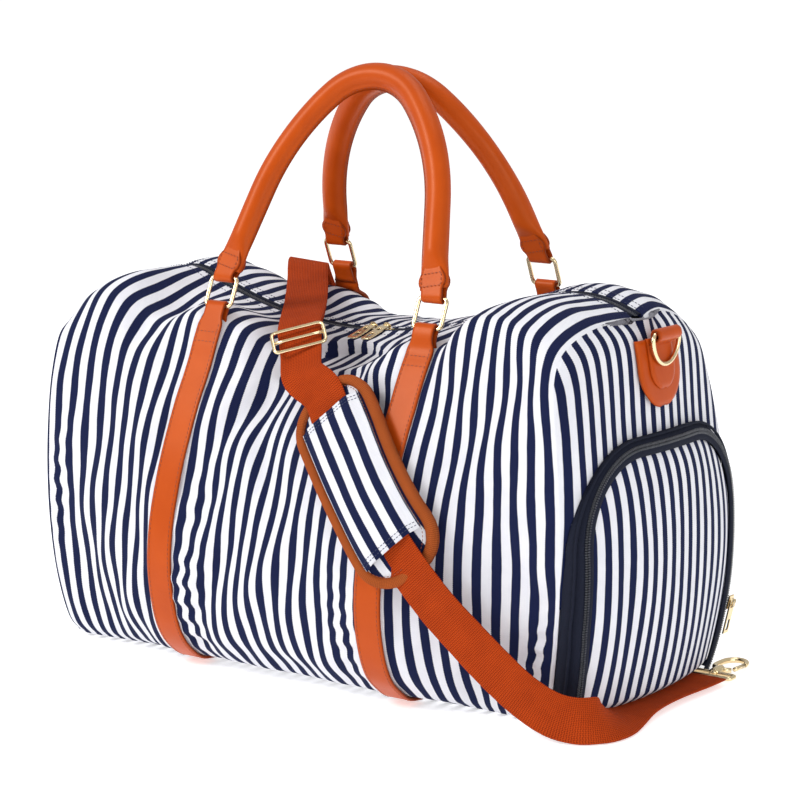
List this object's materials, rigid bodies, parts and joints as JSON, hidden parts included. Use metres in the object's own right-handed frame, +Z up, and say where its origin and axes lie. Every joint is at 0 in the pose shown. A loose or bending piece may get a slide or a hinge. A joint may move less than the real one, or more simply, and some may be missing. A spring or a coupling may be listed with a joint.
{
  "type": "weekender bag",
  "caption": "Soft striped canvas duffel bag with rolled leather handles, leather straps, a zipped end shoe compartment and a padded webbing shoulder strap.",
  "frame": {"origin": "middle of the base panel, on the surface the bag stands on", "axes": "+X along the bag towards the shoe compartment, -Y the front, +Z up"},
  "size_m": [0.6002, 0.3871, 0.5255],
  "materials": {
    "striped_canvas": "navy and white striped twill canvas",
    "leather": "smooth cognac leather with edge stitching",
    "webbing": "rust woven webbing",
    "binding": "tan herringbone binding",
    "gold_metal": "polished pale gold plating",
    "zip_tape": "navy woven zip tape",
    "zip_coil": "black nylon coil",
    "lining": "grey plain-weave lining",
    "board": "black stiffener board",
    "foam": "closed-cell foam core"
  },
  "bodies": {
    "root": {"front_panel": "striped_canvas", "back_panel": "striped_canvas", "base_panel": "striped_canvas", "left_end_panel": "striped_canvas", "right_end_panel": "striped_canvas", "shoe_apron": "striped_canvas", "lining": "lining", "base_board": "board", "shoe_pouch": "lining", "zip_end_tapes": "zip_tape", "zip_end_coils": "zip_coil", "shoe_zip_tape": "zip_tape", "shoe_zip_coil": "zip_coil", "front_left_strap": "leather", "front_right_strap": "leather", "back_left_strap": "leather", "back_right_strap": "leather", "left_ring_tab": "leather", "right_ring_tab": "leather", "shoulder_strap": "webbing", "strap_second_layer": "webbing", "pad_base": "striped_canvas", "pad_binding": "binding", "pad_sleeve": "striped_canvas", "front_hook_eye": "gold_metal", "back_hook_eye": "gold_metal"},
    "front_mouth": {"front_mouth_flap": "striped_canvas", "front_zip_tape": "zip_tape", "front_zip_coil": "zip_coil"},
    "back_mouth": {"back_mouth_flap": "striped_canvas", "back_zip_tape": "zip_tape", "back_zip_coil": "zip_coil"},
    "left_slider": {"left_zip_slider": "gold_metal"},
    "right_slider": {"right_zip_slider": "gold_metal"},
    "left_pull": {"left_zip_pull": "gold_metal"},
    "right_pull": {"right_zip_pull": "gold_metal"},
    "front_rings": {"front_left_ring": "gold_metal", "front_right_ring": "gold_metal"},
    "back_rings": {"back_left_ring": "gold_metal", "back_right_ring": "gold_metal"},
    "front_handle": {"front_handle_cover": "leather", "front_handle_core": "foam"},
    "back_handle": {"back_handle_cover": "leather", "back_handle_core": "foam"},
    "left_d": {"left_d_ring": "gold_metal"},
    "right_d": {"right_d_ring": "gold_metal"},
    "shoe_door": {"shoe_flap": "striped_canvas", "shoe_flap_tape": "zip_tape"},
    "shoe_slider": {"shoe_zip_slider": "gold_metal"},
    "shoe_pull": {"shoe_zip_pull": "gold_metal"},
    "glide": {"strap_glide": "gold_metal"},
    "front_snap": {"front_hook": "gold_metal"},
    "front_gate": {"front_hook_gate": "gold_metal"},
    "back_snap": {"back_hook": "gold_metal"},
    "back_gate": {"back_hook_gate": "gold_metal"}
  },
  "joints": [
    {"name": "front_mouth_slide", "type": "slide", "parent": "root", "child": "front_mouth", "axis": [0, -1, 0], "range_m": [0, 0.0355]},
    {"name": "back_mouth_slide", "type": "slide", "parent": "root", "child": "back_mouth", "axis": [0, 1, 0], "range_m": [0, 0.036]},
    {"name": "left_slider_run", "type": "hinge", "parent": "root", "child": "left_slider", "pos_m": [-0.028, 0, 0.7105], "axis": [0, 1, 0], "range_deg": [0, 24]},
    {"name": "right_slider_run", "type": "hinge", "parent": "root", "child": "right_slider", "pos_m": [-0.028, 0, 0.7105], "axis": [0, -1, 0], "range_deg": [0, 18.6]},
    {"name": "left_pull_flip", "type": "hinge", "parent": "left_slider", "child": "left_pull", "pos_m": [-0.01404, 0, 0.29193], "axis": [-0.9994, 0, -0.0333], "range_deg": [0, 160]},
    {"name": "right_pull_flip", "type": "hinge", "parent": "right_slider", "child": "right_pull", "pos_m": [0.00092, 0, 0.2927], "axis": [-0.9976, 0, -0.069], "range_deg": [0, 160]},
    {"name": "front_ring_tilt", "type": "hinge", "parent": "root", "child": "front_rings", "pos_m": [0, -0.09627, 0.31372], "axis": [1, 0, 0], "range_deg": [0, 75]},
    {"name": "front_handle_swing", "type": "hinge", "parent": "front_rings", "child": "front_handle", "pos_m": [0, -0.08605, 0.33784], "axis": [1, 0, 0], "range_deg": [0, 60]},
    {"name": "back_ring_tilt", "type": "hinge", "parent": "root", "child": "back_rings", "pos_m": [0, 0.08585, 0.33072], "axis": [-1, 0, 0], "range_deg": [0, 75]},
    {"name": "back_handle_swing", "type": "hinge", "parent": "back_rings", "child": "back_handle", "pos_m": [0, 0.07585, 0.35493], "axis": [-1, 0, 0], "range_deg": [0, 60]},
    {"name": "left_d_ring_swing", "type": "hinge", "parent": "root", "child": "left_d", "pos_m": [-0.2855, 0, 0.314], "axis": [0, 1, 0], "range_deg": [0, 150]},
    {"name": "right_d_ring_swing", "type": "hinge", "parent": "root", "child": "right_d", "pos_m": [0.2855, 0, 0.314], "axis": [0, -1, 0], "range_deg": [0, 150]},
    {"name": "shoe_flap_drop", "type": "hinge", "parent": "root", "child": "shoe_door", "pos_m": [0.2885, 0, 0.0445], "axis": [0, 1, 0], "range_deg": [0, 85]},
    {"name": "shoe_slider_run", "type": "hinge", "parent": "root", "child": "shoe_slider", "pos_m": [-0.1, 0.118, 0.15], "axis": [0, -1, 0], "range_deg": [0, 13]},
    {"name": "shoe_pull_flip", "type": "hinge", "parent": "shoe_slider", "child": "shoe_pull", "pos_m": [0.2765, 0.1208, 0.06092], "axis": [0, -1, 0], "range_deg": [0, 160]},
    {"name": "strap_glide_shift", "type": "slide", "parent": "root", "child": "glide", "axis": [0.6103, -0.5051, -0.6103], "range_m": [-0.008, 0]},
    {"name": "front_hook_swivel", "type": "hinge", "parent": "root", "child": "front_snap", "pos_m": [0.287, 0.092, 0.0052], "axis": [0, 1, 0], "continuous": true},
    {"name": "front_gate_press", "type": "hinge", "parent": "front_snap", "child": "front_gate", "pos_m": [0.2963, 0.1064, 0.0052], "axis": [0, 0, 1], "range_deg": [0, 24], "stiffness_Nm_per_rad": 0.02},
    {"name": "back_hook_swivel", "type": "hinge", "parent": "root", "child": "back_snap", "pos_m": [-0.171, 0.181, 0.102], "axis": [0, 0, -1], "continuous": true},
    {"name": "back_gate_press", "type": "hinge", "parent": "back_snap", "child": "back_gate", "pos_m": [-0.1617, 0.181, 0.0876], "axis": [0, 1, 0], "range_deg": [0, 24], "stiffness_Nm_per_rad": 0.02}
  ],
  "couplings": [
    {"joint": "back_mouth_slide", "follows": "front_mouth_slide", "ratio": 1},
    {"joint": "left_slider_run", "follows": "front_mouth_slide", "rad_per_m": 11.635},
    {"joint": "right_slider_run", "follows": "front_mouth_slide", "rad_per_m": 9.0174}
  ]
}
